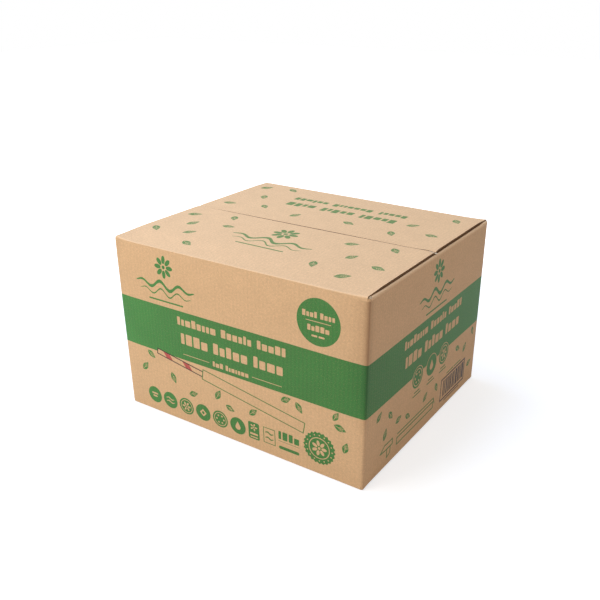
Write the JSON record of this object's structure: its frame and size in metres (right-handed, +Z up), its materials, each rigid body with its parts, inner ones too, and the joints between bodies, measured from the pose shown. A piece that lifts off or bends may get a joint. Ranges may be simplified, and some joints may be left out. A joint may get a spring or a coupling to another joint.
{
  "type": "corrugated cardboard shipping carton",
  "caption": "Closed slotted shipping carton of corrugated board with a printed band; the long top flaps open outwards on their folds.",
  "frame": {"origin": "middle of the base, on the surface that the carton stands on", "axes": "+X to the right along the long side, +Y to the back wall, +Z up"},
  "size_m": [0.437, 0.385, 0.286],
  "materials": {
    "kraft_board": "uncoated brown kraft board with matt green flexographic print"
  },
  "bodies": {
    "carton": {"carton_body": "kraft_board"},
    "front_flap": {"front_top_flap": "kraft_board"},
    "back_flap": {"back_top_flap": "kraft_board"}
  },
  "joints": [
    {"name": "front_flap_fold", "type": "hinge", "parent": "carton", "child": "front_flap", "pos_m": [0, -0.1925, 0.286], "axis": [1, 0, 0], "range_deg": [0, 250]},
    {"name": "back_flap_fold", "type": "hinge", "parent": "carton", "child": "back_flap", "pos_m": [0, 0.1925, 0.286], "axis": [-1, 0, 0], "range_deg": [0, 250]}
  ]
}
